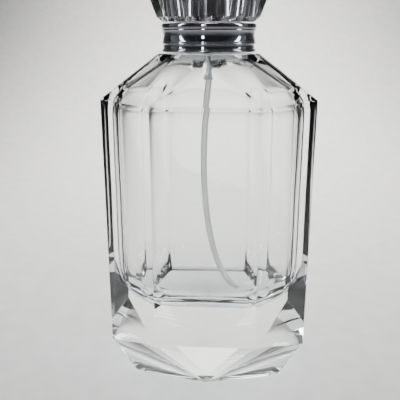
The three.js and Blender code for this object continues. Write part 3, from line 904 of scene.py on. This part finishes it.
def clear_body(name, tint, ior, roughness, scale, wave):
    """Clear glass or acrylic: polished, with faint smears, a few hairlines and a slow wave."""
    made, patch, shader = surface(name, {"IOR": ior, "Transmission Weight": 1.0, "Metallic": 0.0})
    wear = placed_group(patch, WEAR, {"Scale": scale, "Roughness": roughness, "Variation": roughness})
    lines = placed_group(patch, HAIRLINES, {"Scale": scale * 2, "Width": 0.004, "Slant": 0.7})
    drift = placed_group(patch, SKIN, {"Scale": 300.0, "Drift": scale})
    scuffed = patch.math("ADD", wear["Roughness"], patch.math("MULTIPLY", lines["Mask"], 0.04))
    patch.tree.links.new(scuffed, shader.inputs["Roughness"])
    two_tone(patch, shader, drift["Tone"], tint, tuple(0.4 + 0.6 * part for part in tint))
    raised(patch, shader, drift["Tone"], wave, 0.0004)
    let_light_through(patch, shader)
    return made


def mirror_metal(name, dark, light_tone, roughness, scale, pitch):
    """Plated or metallised mirror: smears in the polish, hairlines and faint turning marks."""
    made, patch, shader = surface(name, {"Metallic": 1.0})
    wear = placed_group(patch, WEAR, {"Scale": scale, "Roughness": roughness, "Variation": roughness})
    lines = placed_group(patch, HAIRLINES, {"Scale": scale * 3, "Width": 0.02, "Slant": 0.9})
    marks = placed_group(patch, MARKS, {"Pitch": pitch, "Break": scale * 4})
    scuffed = patch.math("ADD", wear["Roughness"], patch.math("MULTIPLY", lines["Mask"], 0.12))
    patch.tree.links.new(scuffed, shader.inputs["Roughness"])
    two_tone(patch, shader, wear["Height"], dark, light_tone)
    raised(patch, shader, marks["Height"], 0.06, 0.00001)
    return made


def worked_metal(name, dark, light_tone, roughness, pitch, depth):
    """Satin drawn metal, with its turning marks standing out."""
    made, patch, shader = surface(name, {"Metallic": 1.0})
    wear = placed_group(patch, WEAR, {"Scale": 180.0, "Roughness": roughness, "Variation": 0.08})
    marks = placed_group(patch, MARKS, {"Pitch": pitch, "Break": 900.0})
    patch.tree.links.new(wear["Roughness"], shader.inputs["Roughness"])
    two_tone(patch, shader, wear["Height"], dark, light_tone)
    raised(patch, shader, marks["Height"], 0.4, depth)
    return made


def moulded(name, dark, light_tone, constants, roughness, depth):
    """Moulded plastic or rubber: a mould's bloom, drifting tone and handling wear."""
    made, patch, shader = surface(name, constants)
    skin = placed_group(patch, SKIN, {"Scale": 2600.0, "Drift": 140.0})
    wear = placed_group(patch, WEAR, {"Scale": 220.0, "Roughness": roughness, "Variation": 0.06})
    patch.tree.links.new(wear["Roughness"], shader.inputs["Roughness"])
    two_tone(patch, shader, skin["Tone"], dark, light_tone)
    raised(patch, shader, skin["Height"], 0.25, depth)
    return made


SOFT_PLASTIC = {"Subsurface Weight": 0.25, "Subsurface Scale": 0.001, "IOR": 1.48}
CLOUDY_PLASTIC = {"Transmission Weight": 0.75, "IOR": 1.5}
RUBBER = {"IOR": 1.5, "Specular IOR Level": 0.3}

FINISH = {
    "bottle_glass": clear_body("bottle_glass", (0.975, 0.985, 0.98), 1.52, 0.002, 40.0, 0.04),
    "cap_acrylic": clear_body("cap_acrylic", (0.98, 0.975, 0.97), 1.49, 0.006, 70.0, 0.03),
    "collar_chrome": mirror_metal("collar_chrome", (0.42, 0.41, 0.44), (0.52, 0.51, 0.54), 0.045, 90.0, 9000.0),
    "liner_metal": mirror_metal("liner_metal", (0.42, 0.39, 0.42), (0.54, 0.5, 0.53), 0.07, 120.0, 7000.0),
    "ferrule_aluminium": worked_metal(
        "ferrule_aluminium", (0.72, 0.73, 0.75), (0.85, 0.86, 0.87), 0.28, 16000.0, 0.00002
    ),
    "spring_steel": worked_metal("spring_steel", (0.6, 0.6, 0.62), (0.75, 0.75, 0.77), 0.2, 30000.0, 0.000008),
    "natural_plastic": moulded(
        "natural_plastic", (0.74, 0.77, 0.78), (0.84, 0.86, 0.87), CLOUDY_PLASTIC, 0.3, 0.00001
    ),
    "tube_plastic": moulded(
        "tube_plastic", (0.83, 0.83, 0.82), (0.92, 0.92, 0.91), CLOUDY_PLASTIC, 0.22, 0.000006
    ),
    "white_plastic": moulded(
        "white_plastic", (0.8, 0.8, 0.785), (0.86, 0.86, 0.85), SOFT_PLASTIC, 0.36, 0.00001
    ),
    "seal_rubber": moulded("seal_rubber", (0.2, 0.205, 0.21), (0.27, 0.275, 0.28), RUBBER, 0.6, 0.00002),
}

# ---- Assembly -----------------------------------------------------------------------------


def assembled(node, mesh, body, slot):
    """One piece in place of its CAD node."""
    return piece(node + "_fine", mesh, body, node, FINISH[slot])


assembled("glass_bottle", glass_bottle(), "bottle", "bottle_glass")
assembled("neck_gasket", gasket(), "bottle", "seal_rubber")
assembled("crimp_ferrule", ferrule(), "bottle", "ferrule_aluminium")
assembled("collar_insert", collar_insert(), "bottle", "white_plastic")
assembled("collar_ring", collar_ring(), "bottle", "collar_chrome")
assembled("pump_housing", pump_housing(), "bottle", "natural_plastic")
assembled("turret", turret(), "bottle", "natural_plastic")
assembled("stem_seal", stem_seal(), "bottle", "seal_rubber")
assembled("piston", piston(), "stem", "white_plastic")
assembled("valve_core", valve_core(), "stem", "white_plastic")
assembled("stem", stem(), "stem", "white_plastic")
assembled("inlet_ball", inlet_ball(), "inlet_ball", "spring_steel")
assembled("dip_tube", dip_tube(), "bottle", "tube_plastic")
assembled("nozzle_insert", nozzle_insert(), "actuator", "white_plastic")
assembled("cap_shell", cap_shell(), "cap", "cap_acrylic")
assembled("cap_liner", cap_liner(), "cap", "liner_metal")
assembled("cap_insert", cap_insert(), "cap", "white_plastic")

button = assembled("actuator", actuator(), "actuator", "white_plastic")
drill(button, 1.75, -12.2, -3.35, NOZZLE_Z)
drill(button, 0.5, -4.3, 0.3, NOZZLE_Z)
button_sleeve = assembled("actuator_sleeve", sleeve(), "actuator", "collar_chrome")
drill(button_sleeve, 2.05, -13.5, -3.1, NOZZLE_Z)

spring = assembled("return_spring", return_spring(), "bottle", "spring_steel")
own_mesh(spring)

# ---- Stage --------------------------------------------------------------------------------

SWEEP_NEAR, SWEEP_FAR = -1.6, 0.62  # front edge of the floor and the plane of the wall, in Y
SWEEP_TURN = 0.4  # radius of the turn from floor to wall
SWEEP_TOP, SWEEP_HALF = 1.6, 1.8


def stage():
    """A plain pale floor that sweeps up behind the bottle: floor, quarter turn and wall. The
    profile is (y, z) = (far - turn + turn sin a, turn (1 - cos a)) through the turn."""
    angle = np.linspace(0, math.pi / 2, 24)
    turn = np.stack(
        [
            SWEEP_FAR - SWEEP_TURN + SWEEP_TURN * np.sin(angle),
            FLOOR_Z + SWEEP_TURN * (1 - np.cos(angle)),
        ],
        axis=1,
    )
    profile = np.concatenate([[[SWEEP_NEAR, FLOOR_Z]], turn, [[SWEEP_FAR, SWEEP_TOP]]])
    across = np.linspace(-SWEEP_HALF, SWEEP_HALF, 9)
    rows, columns = len(profile), len(across)
    points = np.empty((rows, columns, 3))
    points[..., 0] = across
    points[..., 1:] = profile[:, None]
    corner = (np.arange(rows - 1)[:, None] * columns + np.arange(columns - 1)).ravel()
    faces = np.stack([corner, corner + 1, corner + columns + 1, corner + columns], axis=1)
    mesh = bpy.data.meshes.new("floor")
    mesh.from_pydata(points.reshape(-1, 3).tolist(), [], faces.tolist())
    mesh.shade_smooth()
    floor = bpy.data.objects.new("floor", mesh)
    bpy.context.scene.collection.objects.link(floor)
    mesh.materials.append(
        moulded("floor_paper", (0.55, 0.555, 0.555), (0.6, 0.6, 0.595), {"IOR": 1.3}, 0.8, 0.00003)
    )


def light(name, place, target, size, power, colour=(1, 1, 1), spread=180.0):
    data = bpy.data.lights.new(name, "AREA")
    data.shape = "RECTANGLE"
    data.size, data.size_y = size
    data.energy = power
    data.color = colour
    data.spread = math.radians(spread)
    lamp = bpy.data.objects.new(name, data)
    lamp.location = place
    lamp.rotation_mode = "QUATERNION"
    lamp.rotation_quaternion = (Vector(target) - Vector(place)).to_track_quat("-Z", "Y")
    bpy.context.scene.collection.objects.link(lamp)


WARM, COOL = (1.0, 0.975, 0.93), (0.86, 0.92, 1.0)
SKY_COLOUR = (0.86, 0.93, 1.0, 1)
SKY_DARK, SKY_PALE = 0.03, 0.42  # strength behind the camera and behind the bottle
SKY_FROM, SKY_TO = -0.6, 0.75  # where the one turns into the other, along Y


def surroundings():
    """A dim studio: soft grey behind the bottle that fades to near black behind the camera."""
    world = bpy.data.worlds.new("world")
    bpy.context.scene.world = world
    world.use_nodes = True
    patch = Patch(world.node_tree)
    axes = patch.node("SeparateXYZ", {0: patch.node("TexCoord").outputs["Generated"]}).outputs
    glow = patch.spread(axes[1], SKY_FROM, SKY_TO, SKY_DARK, SKY_PALE)
    back = world.node_tree.nodes["Background"]
    back.inputs["Color"].default_value = SKY_COLOUR
    patch.tree.links.new(glow, back.inputs["Strength"])


stage()
light("pool", (0.0, 0.15, 0.95), (0.0, 0.36, 0.05), (0.22, 0.6), 3.4, WARM, 42)
light("left_strip", (-0.75, -0.25, 0.4), (0, 0, 0.07), (0.1, 0.7), 0.4, COOL, 70)
light("right_strip", (0.8, -0.1, 0.45), (0, 0, 0.07), (0.12, 0.7), 0.55, COOL, 70)
light("front_strip", (-0.2, -0.9, 0.3), (0, 0, 0.1), (0.05, 0.4), 0.15, COOL, 40)
surroundings()
